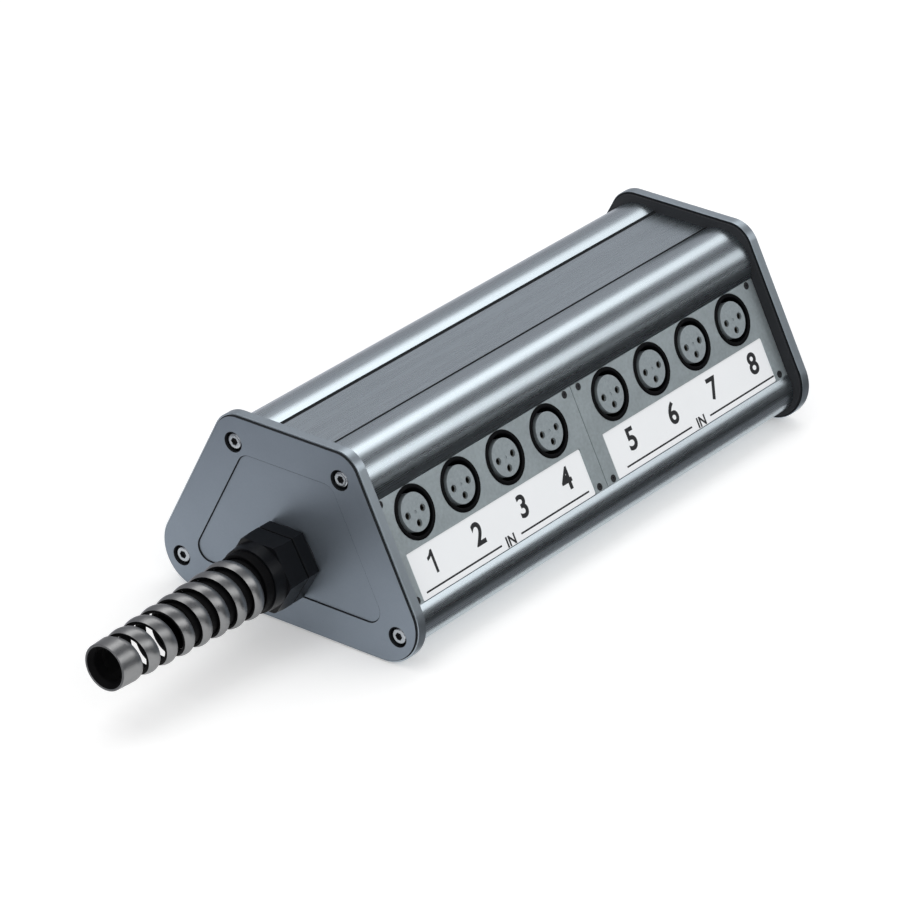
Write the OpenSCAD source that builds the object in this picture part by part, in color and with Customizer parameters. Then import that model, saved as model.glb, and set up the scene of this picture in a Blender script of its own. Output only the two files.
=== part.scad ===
// Stage box with a trapezoid aluminium housing, eight 3-contact sockets on one
// sloping face and a cable gland with a spiral bend relief on one end plate.
// Millimetres. +X runs along the box away from the gland, -Y is the socket
// side, +Z is up. The origin is under the middle of the whole length, on the
// surface that the end plates stand on.

/* [Housing section] */
// Gap between the housing and the surface under the end plates
foot_h = 3.6; // [2:0.1:8]
// Radius of the two lower corner rails
base_rail_r = 11.8; // [10:0.1:14]
// Half the distance between the lower rails' centres
base_rail_y = 50.1; // [46:0.1:60]
// Radius of the two upper corner rails
top_rail_r = 16.7; // [15:0.1:18.5]
// Half the distance between the upper rails' centres
top_rail_y = 21.4; // [20:0.1:26]
// Height of the upper rails' centres over the lower ones
rail_rise = 51.3; // [49:0.1:60]
// Wall of the housing
wall = 3; // [2.4:0.1:3.6]
// Depth of the panel's face behind the upper rail's side
panel_recess = 3; // [2.4:0.1:3.4]
// Depth of the panel's face behind the lower rail's side
panel_base_recess = 0.5; // [0.3:0.05:1.2]
// Depth of the flat top between the upper rails
top_recess = 1.9; // [1.2:0.1:2.4]
// Depth of the flat underside between the lower rails
base_recess = 1; // [0.5:0.1:1.6]
// Width and depth of the fine groove along each side of the flat top
top_groove = 0.8; // [0.5:0.1:1.2]

/* [Housing length] */
// Length of the extruded housing
profile_len = 266; // [262:1:320]

/* [End plates] */
// Thickness of an end plate at its rim
plate_t = 5.6; // [5:0.1:9]
// Rise of an end plate over the upper rails
plate_over_top = 4; // [3:0.1:6]
// Reach of an end plate past the panel's face
plate_over_side = 6.2; // [5:0.1:8]
// Upper corner radius of an end plate
plate_top_r = 12.5; // [10:0.5:15]
// Lower corner radius of an end plate
plate_base_r = 17.8; // [13:0.1:19]
// Width and depth of the step round an end plate's outer edge
plate_step = 0.9; // [0.4:0.1:1.4]
// Depth of the sunk field on an end plate's outer face
field_depth = 0.6; // [0.3:0.1:1]
// Margin between an end plate's sides or top and its sunk field
field_margin = 16.7; // [15.5:0.1:18]
// Corner radius of the sunk field
field_r = 6; // [4:0.5:10]
// Thickness of an end gasket
gasket_t = 1; // [0.6:0.1:2]
// Set-back of an end gasket from the plate's edge
gasket_inset = 1.1; // [0.6:0.1:1.6]

/* [End screws] */
// Half the distance between the upper screws
top_screw_y = 27.3; // [25:0.1:29]
// Upper screws' height over the upper rails' centres
top_screw_rise = 8; // [6:0.1:9]
// Half the distance between the lower screws
base_screw_y = 56.2; // [54:0.1:57]
// Lower screws' depth under the lower rails' centres
base_screw_drop = 1.9; // [0:0.1:3]
// Diameter of the end screws
end_screw_d = 4; // [3:0.5:4]
// Length of the end screws under the head
end_screw_len = 18; // [14:1:30]
// Diameter of the end screws' heads
end_head_d = 7.4; // [7:0.1:8]
// Height of the end screws' heads
end_head_h = 2.4; // [2:0.1:2.8]
// Outside diameter of the screw bosses inside the housing
boss_d = 9; // [8:0.1:9.6]

/* [Connector panels] */
// Distance of the socket line down the face from the upper rail's side
socket_drop = 21.2; // [21:0.1:23]
// Distance between neighbouring sockets of one panel
socket_pitch = 30; // [27.5:0.5:30.5]
// Thickness of a connector panel
panel_t = 2; // [1.5:0.1:2.4]
// Depth of the groove that holds the panel's upper edge
panel_groove = 3; // [2:0.1:3.4]
// Gap between the two panels
panel_gap = 0.3; // [0.2:0.1:1]
// Diameter of the panel screws
panel_screw_d = 2; // [1.6:0.2:2]
// Diameter of the panel screws' heads
panel_head_d = 3.2; // [2.8:0.1:3.4]
// Length of the panel screws
panel_screw_len = 6; // [4:0.5:10]
// Distance of the panel screws from the panel's ends
panel_screw_in = 4.7; // [4:0.1:5]

/* [Label strips] */
// Gap between a label strip's ends and the panel screws' heads
label_gap = 1.8; // [1:0.1:8]
// Distance from a label strip's lower edge to the panel's lower edge
label_margin = 0.2; // [0.1:0.1:4]
// Thickness of a label strip
label_t = 0.5; // [0.3:0.1:0.8]
// Depth of the panel's pocket over the label strip
label_sink = 0.3; // [0.1:0.1:0.5]
// Distance from the socket line to the label strip's upper edge
label_drop = 13.3; // [12.8:0.1:13.6]

/* [Sockets] */
// Outer diameter of a socket's front ring
ring_d = 23; // [22:0.1:23.2]
// Diameter of the slot's outer wall
slot_d = 19.5; // [19:0.1:20.5]
// Diameter of a socket's insert
insert_d = 16.3; // [15:0.1:16.6]
// Depth of the ring slot behind the panel's face
slot_depth = 15.5; // [12:0.5:20]
// Height of a socket's ring over the panel
ring_proud = 0.5; // [0.2:0.1:1]
// Depth of the insert's face behind the ring's front
insert_sink = 0.1; // [0:0.1:1]
// Radius of the circle that the contacts lie on
contact_circle_r = 4.76; // [4.4:0.02:5]
// Diameter of a contact's hole in the insert
contact_hole_d = 3.1; // [3:0.1:3.2]
// Bore of a contact, for a 2.4 mm pin
contact_bore_d = 2.45; // [2.42:0.01:2.6]
// Thickness of a socket's rear flange
flange_t = 2; // [1.5:0.1:3]
// Reach of a socket's rear flange past its ring
flange_w = 1.3; // [0.8:0.1:1.4]
// Thickness of a socket's floor
floor_t = 3; // [2:0.1:4]

/* [Circuit boards] */
// Thickness of a circuit board
board_t = 1.6; // [1:0.1:2.4]
// Height of a circuit board along the slope
board_h = 25; // [24.5:0.5:26]
// Diameter of the stand-offs between panel and board
standoff_d = 4.4; // [4:0.1:5]
// Height of the stand-off rows from the socket line
standoff_y = 9.6; // [9:0.1:9.8]
// Diameter of the board screws
board_screw_d = 2.5; // [2:0.1:3]
// Length of a board's cable header
header_len = 42; // [24:1:56]
// Depth of a board's cable header
header_h = 8; // [6:0.5:12]

/* [Cable gland] */
// Height of the gland's axis over the surface
gland_z = 30.6; // [29.5:0.1:32]
// Outside diameter of the gland's thread
gland_thread_d = 25; // [24.5:0.1:25.5]
// Width across the flats of the gland's hexagons
gland_flats = 29.5; // [29:0.1:31]
// Thickness of the sealing washer under the gland
washer_t = 1; // [0.6:0.1:2]
// Thickness of the gland body's hexagon
hex_t = 6.5; // [3.6:0.1:8]
// Gap between the gland body's hexagon and the cap nut at rest
nut_gap = 0.8; // [0.3:0.1:1.2]
// Length of the cap nut's hexagon
nut_hex_len = 10.5; // [6:0.1:12]
// Length of the cap nut's round collar
nut_collar_len = 6; // [5:0.1:12]
// Bore of the gland body
gland_bore_d = 19; // [18.5:0.1:19.5]
// Diameter of the cable passage through the rubber seal
cable_d = 14; // [12:0.1:14.4]
// Thickness of the locknut inside the end plate
locknut_t = 5; // [4:0.5:7]
// Width across the flats of the locknut
locknut_flats = 32; // [31:0.5:34]
// Number of fingers on the clamping claw
claw_fingers = 8; // [6:2:10]

/* [Bend relief] */
// Reach of the bend relief's tip from the end plate
gland_reach = 112; // [100:1:140]
// Outer diameter of the bend relief where the spiral starts
spiral_root_d = 28.2; // [27.5:0.1:28.5]
// Outer diameter of the bend relief's tip
spiral_tip_d = 20; // [19.5:0.1:22]
// Radial thickness of the spiral
spiral_wall = 2.1; // [1.6:0.1:2.2]
// Wall of the sleeve inside the spiral's first part
sleeve_t = 0.8; // [0.6:0.1:1]
// Reach of that sleeve from the end plate
sleeve_reach = 70; // [50:1:76]

/* [Hidden] */
$fn = 96;

// Clearances
fit = 0.1;
screw_fit = 0.1;
plate_screw_fit = 0.25;
head_fit = 0.6;
head_sink = 0.7;
run_fit = 0.06;
cut = 0.5;

// Details of the screws
end_key_w = 3;
end_key_depth = 1.5;
head_rim = 0.3;
head_margin = 0.3;
panel_key_w = 1.1;
panel_key_depth = 0.5;
hole_spare = 1;

// Details behind the panels
window_room = 0.4;
backing_t = 2.4;
backing_drop = 4;
edge_room = 0.2;
pin_d = 1;
pin_fit = 0.1;
floor_room = 0.5;
pin_reach = 1.6;
contact_sink = 1;
contact_floor = 3;
dimple_d = 1.4;
dimple_depth = 0.4;
board_screw_head_h = 1.8;
standoff_thread = 8;
header_w = 7;
header_room = 0.6;
header_wall = 1.2;
header_floor = 2;

// Details of the gland
washer_inset = 0.3;
field_room = 0.65;
hole_fit = 0.2;
neck_past_hex = 2;
nut_play = 0.6;
claw_play = 0.3;
claw_wall = 1.2;
claw_slot_w = 1;
claw_ring_len = 3;
seal_short = 0.7;
bore_step = 5;
bore_lip = 1;
shank_past_nut = 1.5;
ledge_t = 2;
ledge_room = 1.2;
nut_corner_trim = 0.5;
sleeve_room = 0.3;

// Section: places of the rails, and the slope that the panel's face has
base_rail_z = foot_h + base_rail_r;
top_rail_z = base_rail_z + rail_rise;
face_top_r = top_rail_r - panel_recess;
face_base_r = base_rail_r - panel_base_recess;
rail_run = base_rail_y - top_rail_y;
rail_dist = sqrt(rail_run * rail_run + rail_rise * rail_rise);
slope = atan(rail_run / rail_rise) - asin((face_top_r - face_base_r) / rail_dist);
face_len = sqrt(rail_dist * rail_dist - pow(face_top_r - face_base_r, 2));
out_dir = [cos(slope), sin(slope)];
down_dir = [sin(slope), -cos(slope)];
top_flat_z = top_rail_z + top_rail_r - top_recess;
base_flat_z = foot_h + base_recess;
groove_y = top_rail_y - sqrt(pow(top_rail_r, 2) - pow(top_rail_r - top_recess, 2));

// Section: the end plates
plate_h = top_rail_z + top_rail_r + plate_over_top;

// Places along the length
total_len = gland_reach + 2 * (plate_t + gasket_t) + profile_len;
plate_front_x = -total_len / 2 + gland_reach;
profile_x = plate_front_x + plate_t + gasket_t;
profile_end_x = profile_x + profile_len;
profile_mid_x = (profile_x + profile_end_x) / 2;

// Panel face: local x runs with the box, local y up the slope, local z outwards
face_point = [top_rail_y, top_rail_z] + face_top_r * out_dir + socket_drop * down_dir;
face_edge_y = socket_drop - sqrt(pow(top_rail_r, 2) - pow(face_top_r, 2));
base_edge_y = socket_drop - face_len + sqrt(pow(base_rail_r, 2) - pow(face_base_r, 2));
panel_seat = panel_t + fit;
pocket_top_y = face_edge_y + panel_groove;
pocket_base_y = base_edge_y + edge_room;
panel_top_y = pocket_top_y - fit;
panel_base_y = pocket_base_y + fit;
panel_len = (profile_len - panel_gap) / 2 - fit;
panel_mid = (panel_len + panel_gap) / 2;
screw_top_y = face_edge_y - panel_head_d / 2 - head_margin;
screw_base_y = panel_base_y + panel_head_d / 2 + head_margin + fit;
label_len = panel_len - 2 * (panel_screw_in + panel_head_d / 2 + label_gap);
label_h = -label_drop - label_margin - panel_base_y;
flange_r = ring_d / 2 + flange_w;
floor_hole_r = contact_circle_r + pin_d / 2 + floor_room;
insert_h = slot_depth + ring_proud - insert_sink;
window_half_len = 1.5 * socket_pitch + flange_r + window_room;
window_half_h = flange_r + window_room;

// Depths behind the panel's face
slot_floor_z = -slot_depth;
socket_back_z = slot_floor_z - floor_t;
board_back_z = socket_back_z - board_t;
header_y = pin_d / 2 + header_room;

// Cable gland: distances outwards from the end plate's rim face
washer_d0 = -field_depth;
washer_r = gland_flats / 2 - washer_inset;
field_base = gland_z - washer_r - field_room;
hex_d0 = washer_d0 + washer_t;
nut_d0 = hex_d0 + hex_t + nut_gap;
collar_d0 = nut_d0 + nut_hex_len;
spiral_d0 = collar_d0 + nut_collar_len;
neck_end = collar_d0 + neck_past_hex;
nut_shoulder = neck_end + nut_play;
claw_d0 = hex_d0 + bore_step + claw_play;
claw_len = nut_shoulder - claw_play - claw_d0;
claw_r = gland_bore_d / 2 - run_fit;
shank_end = -(plate_t + locknut_t + shank_past_nut);
spiral_len = gland_reach - spiral_d0;

// Half width of the line that lies out mm outside the panel's face, at height z
function side_y(z, out) =
    top_rail_y + (face_top_r + out) / cos(slope) - (z - top_rail_z) * tan(slope);
function arc(centre, r, from, to) =
    let (steps = ceil(abs(to - from) * $fn / 360))
    [for (i = [0 : steps]) let (a = from + (to - from) * i / steps) centre + r * [cos(a), sin(a)]];
function mirrored(points) = [for (p = points) [-p.x, p.y]];
function reversed(points) = [for (i = [len(points) - 1 : -1 : 0]) points[i]];
// One side of the housing's walls, its sloping wall out mm outside the panel's face
function side_points(side, out, inset) =
    let (points = [
        [top_rail_y, top_flat_z - inset],
        [top_rail_y, top_rail_z] + (face_top_r + out) * out_dir,
        [base_rail_y, base_rail_z] + (face_base_r + out) * out_dir,
        [base_rail_y, base_flat_z + inset]
    ])
    side > 0 ? points : mirrored(points);
function panel_x(panel) = profile_mid_x + (panel == 1 ? -panel_mid : panel_mid);
function panel_of(socket) = socket <= 4 ? 1 : 2;
function socket_x(socket) = panel_x(panel_of(socket)) + ((socket - 1) % 4 - 1.5) * socket_pitch;
function spiral_r(d) =
    (spiral_root_d + (spiral_tip_d - spiral_root_d) * (d - spiral_d0) / spiral_len) / 2;

// Extrudes an outline drawn in y and z along x
module along_x(x, length) {
    translate([x, 0, 0]) rotate([90, 0, 90]) linear_extrude(height = length) children();
}

// A round bar along x at one place of the section
module rod(x, length, place, r) {
    translate([x, place.x, place.y]) rotate([0, 90, 0]) cylinder(r = r, h = length);
}

// Puts what is drawn on a flat panel onto the sloping face of the socket side
module on_face(x = 0) {
    translate([x, -face_point.x, face_point.y]) rotate([90 - slope, 0, 0]) children();
}

// Turns z into the direction outwards along the gland's axis
module on_gland(d = 0) {
    translate([plate_front_x - d, 0, gland_z]) rotate([0, -90, 0]) children();
}

module tube(outer_r, inner_r, height) {
    difference() {
        cylinder(r = outer_r, h = height);
        translate([0, 0, -cut]) cylinder(r = inner_r, h = height + 2 * cut);
    }
}

// A hexagon by its width across flats, with two corners level
module hexagon(flats, height) {
    rotate([0, 0, 90]) cylinder(d = flats / cos(30), h = height, $fn = 6);
}

// The four rails and the walls between them, drawn in for the hollow. The
// sloping wall of the socket side lies face_in behind the panels' face.
module housing_block(x, length, inset, face_in) {
    for (side = [-1, 1]) {
        rod(x, length, [side * top_rail_y, top_rail_z], top_rail_r - inset);
        rod(x, length, [side * base_rail_y, base_rail_z], base_rail_r - inset);
    }
    along_x(x, length) polygon(concat(
        side_points(1, -inset, inset),
        reversed(side_points(-1, -face_in, inset))
    ));
}

module housing_hollow(x, length) {
    difference() {
        housing_block(x, length, wall, panel_seat + wall);
        screw_rods(x - cut, length + 2 * cut, boss_d);
    }
}

// Four rods on the end screws' axes
module screw_rods(x, length, d) {
    for (side = [-1, 1]) {
        rod(x, length, [side * top_screw_y, top_rail_z + top_screw_rise], d / 2);
        rod(x, length, [side * base_screw_y, base_rail_z - base_screw_drop], d / 2);
    }
}

// The room for the panels, with its groove under the upper rail
module face_pocket() {
    on_face(profile_x - cut) translate([0, pocket_base_y, -panel_seat])
        cube([profile_len + 2 * cut, pocket_top_y - pocket_base_y, panel_seat]);
}

// The solid metal behind that groove
module groove_backing() {
    on_face(profile_x - 2 * cut) translate([0, face_edge_y - backing_drop, -panel_seat - backing_t])
        cube([profile_len + 4 * cut, panel_groove + backing_drop + backing_t, panel_seat + backing_t + cut]);
}

// The fine grooves along both sides of the flat top
module top_grooves() {
    for (side = [-1, 1])
        translate([profile_x - cut, side * groove_y - top_groove, top_flat_z - top_groove])
            cube([profile_len + 2 * cut, 2 * top_groove, 2 * top_groove]);
}

// The window behind one panel that its sockets reach through
module socket_window(panel) {
    on_face(panel_x(panel)) translate([-window_half_len, -window_half_h, -panel_seat - wall - backing_t])
        cube([2 * window_half_len, 2 * window_half_h, wall + backing_t + cut]);
}

module panel_screw_places(panel) {
    for (side = [-1, 1], y = [screw_top_y, screw_base_y])
        on_face(panel_x(panel)) translate([side * (panel_len / 2 - panel_screw_in), y, 0]) children();
}

module housing_profile() {
    color([0.66, 0.69, 0.71]) difference() {
        housing_block(profile_x, profile_len, 0, panel_seat / 2);
        difference() {
            housing_hollow(profile_x - cut, profile_len + 2 * cut);
            groove_backing();
        }
        screw_rods(profile_x - cut, profile_len + 2 * cut, end_screw_d + screw_fit);
        face_pocket();
        top_grooves();
        for (panel = [1, 2]) {
            socket_window(panel);
            panel_screw_places(panel) translate([0, 0, -panel_screw_len - hole_spare])
                cylinder(d = panel_screw_d + screw_fit, h = panel_screw_len, $fn = 24);
        }
    }
}

// An end plate's outline, drawn in at the top and sides and at the base
module plate_outline(inset, base_inset, top_r, base_r) {
    top_z = plate_h - inset - top_r;
    base_z = base_inset + base_r;
    half = concat(
        arc([side_y(top_z, plate_over_side - inset - top_r), top_z], top_r, 90, slope),
        arc([side_y(base_z, plate_over_side - inset - base_r), base_z], base_r, slope, -90)
    );
    polygon(concat(half, reversed(mirrored(half))));
}

// A slab with that outline, drawn in evenly
module plate_block(x, length, inset) {
    along_x(x, length) plate_outline(inset, inset, plate_top_r - inset, plate_base_r - inset);
}

// One end plate with its outer face at x = 0 and its inner face at x = plate_t
module end_plate() {
    difference() {
        union() {
            plate_block(plate_step, plate_t - plate_step, 0);
            plate_block(0, plate_step, plate_step);
        }
        along_x(-cut, field_depth + cut) plate_outline(field_margin, field_base, field_r, field_r);
        screw_rods(-cut, plate_t + 2 * cut, end_screw_d + 2 * plate_screw_fit);
        screw_rods(-cut, end_head_h + head_sink + cut, end_head_d + 2 * head_fit);
    }
}

module end_plate_cable() {
    color([0.40, 0.43, 0.46]) difference() {
        translate([plate_front_x, 0, 0]) end_plate();
        on_gland(-plate_t - cut)
            cylinder(d = gland_thread_d + 2 * hole_fit, h = plate_t + 2 * cut);
    }
}

module end_plate_blank() {
    color([0.40, 0.43, 0.46])
        translate([profile_end_x + gasket_t + plate_t, 0, 0]) mirror([1, 0, 0]) end_plate();
}

module end_gasket(x) {
    color([0.06, 0.06, 0.07]) difference() {
        plate_block(x, gasket_t, gasket_inset);
        housing_hollow(x - cut, gasket_t + 2 * cut);
        screw_rods(x - cut, gasket_t + 2 * cut, end_screw_d + 2 * plate_screw_fit);
    }
}

// A socket head screw along +X with its head's top at x = 0
module end_screw() {
    rotate([0, 90, 0]) difference() {
        union() {
            cylinder(d = end_head_d, h = end_head_h, $fn = 48);
            cylinder(d = end_screw_d, h = end_head_h + end_screw_len, $fn = 48);
        }
        translate([0, 0, -cut])
            cylinder(d = end_key_w / cos(30), h = end_key_depth + cut, $fn = 6);
    }
}

module end_screws() {
    for (side = [-1, 1]) {
        translate([head_sink, side * top_screw_y, top_rail_z + top_screw_rise]) end_screw();
        translate([head_sink, side * base_screw_y, base_rail_z - base_screw_drop]) end_screw();
    }
}

module end_screws_cable() {
    color([0.75, 0.76, 0.78]) translate([plate_front_x, 0, 0]) end_screws();
}

module end_screws_blank() {
    color([0.75, 0.76, 0.78])
        translate([profile_end_x + gasket_t + plate_t, 0, 0]) mirror([1, 0, 0]) end_screws();
}

module sockets_of(panel) {
    for (i = [0 : 3]) translate([(i - 1.5) * socket_pitch, 0, 0]) children();
}

module connector_panel(panel) {
    color([0.72, 0.75, 0.77]) difference() {
        on_face(panel_x(panel)) difference() {
            translate([-panel_len / 2, panel_base_y, -panel_t])
                cube([panel_len, panel_top_y - panel_base_y, panel_t]);
            sockets_of(panel) translate([0, 0, -panel_t - cut])
                cylinder(d = ring_d + 2 * fit, h = panel_t + 2 * cut);
            translate([-label_len / 2 - fit, panel_base_y - cut, -label_t - label_sink])
                cube([label_len + 2 * fit, label_h + label_margin + fit + cut, label_t + label_sink + cut]);
        }
        panel_screw_places(panel) {
            translate([0, 0, -panel_t - cut])
                cylinder(d = panel_screw_d + 2 * fit, h = panel_t + 2 * cut, $fn = 24);
            panel_head(fit);
        }
    }
}

// The cone of a countersunk head, flush with the panel's face
module panel_head(grow) {
    cone_end = -head_rim - (panel_head_d - panel_screw_d) / 2 - grow;
    rotate_extrude($fn = 32) polygon([
        [0, grow], [panel_head_d / 2 + grow, grow],
        [panel_head_d / 2 + grow, -head_rim],
        [panel_screw_d / 2, cone_end], [0, cone_end]
    ]);
}

module panel_screws(panel) {
    color([0.08, 0.08, 0.09]) panel_screw_places(panel) difference() {
        union() {
            panel_head(0);
            translate([0, 0, -panel_screw_len])
                cylinder(d = panel_screw_d, h = panel_screw_len - head_rim, $fn = 24);
        }
        translate([0, 0, -panel_key_depth])
            cylinder(d = panel_key_w / cos(30), h = panel_key_depth + cut, $fn = 6);
    }
}

module label_strip(panel) {
    color([0.92, 0.94, 0.95]) on_face(panel_x(panel))
        translate([-label_len / 2, -label_drop - label_h, -label_t - label_sink])
            cube([label_len, label_h, label_t]);
}

module contact_places() {
    for (a = [0, 180, 270]) rotate(a) translate([contact_circle_r, 0, 0]) children();
}

module socket_shell(socket) {
    color([0.05, 0.05, 0.055]) on_face(socket_x(socket)) difference() {
        union() {
            translate([0, 0, socket_back_z]) cylinder(d = ring_d, h = ring_proud - socket_back_z);
            translate([0, 0, -panel_t - flange_t]) cylinder(r = flange_r, h = flange_t);
        }
        translate([0, 0, slot_floor_z]) cylinder(d = slot_d, h = slot_depth + ring_proud + cut);
        translate([0, 0, socket_back_z - cut]) cylinder(r = floor_hole_r, h = floor_t + 2 * cut);
    }
}

module socket_insert(socket) {
    color([0.55, 0.58, 0.60]) on_face(socket_x(socket)) difference() {
        translate([0, 0, slot_floor_z]) cylinder(d = insert_d, h = insert_h);
        contact_places() translate([0, 0, slot_floor_z - cut])
            cylinder(d = contact_hole_d, h = insert_h + 2 * cut, $fn = 32);
        translate([0, 0, slot_floor_z + insert_h - dimple_depth])
            cylinder(d = dimple_d, h = dimple_depth + cut, $fn = 24);
    }
}

module socket_contacts(socket) {
    color([0.80, 0.78, 0.70]) on_face(socket_x(socket)) contact_places() difference() {
        union() {
            translate([0, 0, slot_floor_z])
                cylinder(d = contact_hole_d - fit, h = insert_h - contact_sink, $fn = 32);
            translate([0, 0, board_back_z - pin_reach])
                cylinder(d = pin_d, h = slot_floor_z - board_back_z + pin_reach + pin_d, $fn = 24);
        }
        translate([0, 0, slot_floor_z + contact_floor])
            cylinder(d = contact_bore_d, h = insert_h, $fn = 32);
    }
}

module standoff_places() {
    for (x = [-socket_pitch, socket_pitch], y = [-standoff_y, standoff_y])
        translate([x, y, 0]) children();
}

module circuit_board(panel) {
    board_len = 2 * (window_half_len - window_room);
    color([0.05, 0.30, 0.16]) on_face(panel_x(panel)) difference() {
        translate([-board_len / 2, -board_h / 2, board_back_z]) cube([board_len, board_h, board_t]);
        sockets_of(panel) contact_places() translate([0, 0, board_back_z - cut])
            cylinder(d = pin_d + 2 * pin_fit, h = board_t + 2 * cut, $fn = 24);
        standoff_places() translate([0, 0, board_back_z - cut])
            cylinder(d = board_screw_d + 2 * fit, h = board_t + 2 * cut, $fn = 24);
    }
}

module board_header(panel) {
    color([0.10, 0.10, 0.11]) on_face(panel_x(panel)) difference() {
        translate([-header_len / 2, header_y, board_back_z - header_h])
            cube([header_len, header_w, header_h]);
        translate([header_wall - header_len / 2, header_y + header_wall, board_back_z - header_h - cut])
            cube([header_len - 2 * header_wall, header_w - 2 * header_wall, header_h - header_floor + cut]);
    }
}

module board_standoffs(panel) {
    color([0.75, 0.70, 0.50]) on_face(panel_x(panel)) standoff_places() difference() {
        translate([0, 0, socket_back_z]) cylinder(d = standoff_d, h = -panel_t - socket_back_z, $fn = 32);
        translate([0, 0, socket_back_z - cut])
            cylinder(d = board_screw_d + screw_fit, h = standoff_thread + cut, $fn = 24);
    }
}

module board_screws(panel) {
    color([0.75, 0.76, 0.78]) on_face(panel_x(panel)) standoff_places() union() {
        translate([0, 0, board_back_z - board_screw_head_h])
            cylinder(d = 2 * board_screw_d, h = board_screw_head_h, $fn = 32);
        translate([0, 0, board_back_z - board_screw_head_h / 2])
            cylinder(d = board_screw_d, h = board_t + standoff_thread - hole_spare, $fn = 24);
    }
}

module gland_body() {
    color([0.07, 0.07, 0.08]) on_gland() difference() {
        union() {
            translate([0, 0, shank_end]) cylinder(d = gland_thread_d, h = neck_end - shank_end);
            translate([0, 0, hex_d0]) hexagon(gland_flats, hex_t);
        }
        translate([0, 0, shank_end - cut])
            cylinder(d = gland_bore_d - 2 * bore_lip, h = neck_end - shank_end + 2 * cut);
        translate([0, 0, hex_d0 + bore_step]) cylinder(d = gland_bore_d, h = neck_end);
    }
}

module gland_washer() {
    color([0.03, 0.03, 0.03]) on_gland(washer_d0)
        tube(washer_r, gland_thread_d / 2 + run_fit, washer_t);
}

module gland_locknut() {
    color([0.70, 0.71, 0.73]) on_gland(-plate_t - locknut_t) difference() {
        hexagon(locknut_flats, locknut_t);
        translate([0, 0, -cut]) cylinder(d = gland_thread_d + 2 * run_fit, h = locknut_t + 2 * cut);
    }
}

// The slotted cage that the cap nut pushes onto the rubber seal
module gland_claw() {
    color([0.85, 0.86, 0.87]) on_gland(claw_d0) difference() {
        tube(claw_r, claw_r - claw_wall, claw_len);
        for (i = [0 : claw_fingers / 2 - 1]) rotate(i * 360 / claw_fingers)
            translate([-claw_r - cut, -claw_slot_w / 2, claw_ring_len])
                cube([2 * (claw_r + cut), claw_slot_w, claw_len]);
    }
}

module gland_seal() {
    color([0.10, 0.10, 0.11]) on_gland(claw_d0)
        tube(claw_r - claw_wall - fit / 2, cable_d / 2, claw_len - seal_short);
}

module gland_cap_nut() {
    bore_r = gland_thread_d / 2 + run_fit;
    corner_r = gland_flats / 2 / cos(30);
    color([0.06, 0.06, 0.07]) on_gland() difference() {
        union() {
            translate([0, 0, nut_d0]) intersection() {
                hexagon(gland_flats, nut_hex_len);
                cylinder(r1 = corner_r + nut_corner_trim, r2 = corner_r - nut_corner_trim, h = nut_hex_len);
            }
            translate([0, 0, collar_d0])
                cylinder(r1 = gland_flats / 2, r2 = spiral_root_d / 2, h = nut_collar_len);
        }
        translate([0, 0, nut_d0 - cut]) cylinder(r = bore_r, h = nut_shoulder - nut_d0 + cut);
        translate([0, 0, nut_shoulder - cut])
            cylinder(r = cable_d / 2 + ledge_room, h = ledge_t + 2 * cut);
        translate([0, 0, nut_shoulder + ledge_t])
            cylinder(r = spiral_root_d / 2 - spiral_wall, h = spiral_d0 - nut_shoulder);
    }
}

// The bend relief as a plain tapering tube
module bend_relief_spiral() {
    root_r = spiral_r(spiral_d0);
    tip_r = spiral_r(gland_reach);
    color([0.06, 0.06, 0.07]) on_gland() rotate_extrude() polygon([
        [root_r - spiral_wall, spiral_d0], [root_r, spiral_d0],
        [tip_r, gland_reach], [tip_r - spiral_wall, gland_reach]
    ]);
}

// The thin tube that lines the spiral's first part, seated on the cap nut's ledge
module bend_relief_sleeve() {
    seat = nut_shoulder + ledge_t;
    root_r = spiral_root_d / 2 - spiral_wall - sleeve_room;
    end_r = spiral_r(sleeve_reach) - spiral_wall - sleeve_room;
    color([0.02, 0.02, 0.022]) on_gland() rotate_extrude() polygon([
        [root_r - sleeve_t, seat], [root_r, seat], [root_r, spiral_d0], [end_r, sleeve_reach],
        [end_r - sleeve_t, sleeve_reach], [root_r - sleeve_t, spiral_d0]
    ]);
}

housing_profile();
end_plate_cable();
end_plate_blank();
end_gasket(profile_x - gasket_t);  // end_gasket_cable
end_gasket(profile_end_x);  // end_gasket_blank
end_screws_cable();
end_screws_blank();
connector_panel(1);  // connector_panel_1
connector_panel(2);  // connector_panel_2
panel_screws(1);  // panel_screws_1
panel_screws(2);  // panel_screws_2
label_strip(1);  // label_strip_1
label_strip(2);  // label_strip_2
socket_shell(1);  // socket_shell_1
socket_shell(2);  // socket_shell_2
socket_shell(3);  // socket_shell_3
socket_shell(4);  // socket_shell_4
socket_shell(5);  // socket_shell_5
socket_shell(6);  // socket_shell_6
socket_shell(7);  // socket_shell_7
socket_shell(8);  // socket_shell_8
socket_insert(1);  // socket_insert_1
socket_insert(2);  // socket_insert_2
socket_insert(3);  // socket_insert_3
socket_insert(4);  // socket_insert_4
socket_insert(5);  // socket_insert_5
socket_insert(6);  // socket_insert_6
socket_insert(7);  // socket_insert_7
socket_insert(8);  // socket_insert_8
socket_contacts(1);  // socket_contacts_1
socket_contacts(2);  // socket_contacts_2
socket_contacts(3);  // socket_contacts_3
socket_contacts(4);  // socket_contacts_4
socket_contacts(5);  // socket_contacts_5
socket_contacts(6);  // socket_contacts_6
socket_contacts(7);  // socket_contacts_7
socket_contacts(8);  // socket_contacts_8
circuit_board(1);  // circuit_board_1
circuit_board(2);  // circuit_board_2
board_header(1);  // board_header_1
board_header(2);  // board_header_2
board_standoffs(1);  // board_standoffs_1
board_standoffs(2);  // board_standoffs_2
board_screws(1);  // board_screws_1
board_screws(2);  // board_screws_2
gland_body();
gland_washer();
gland_locknut();
gland_claw();
gland_seal();
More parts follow.
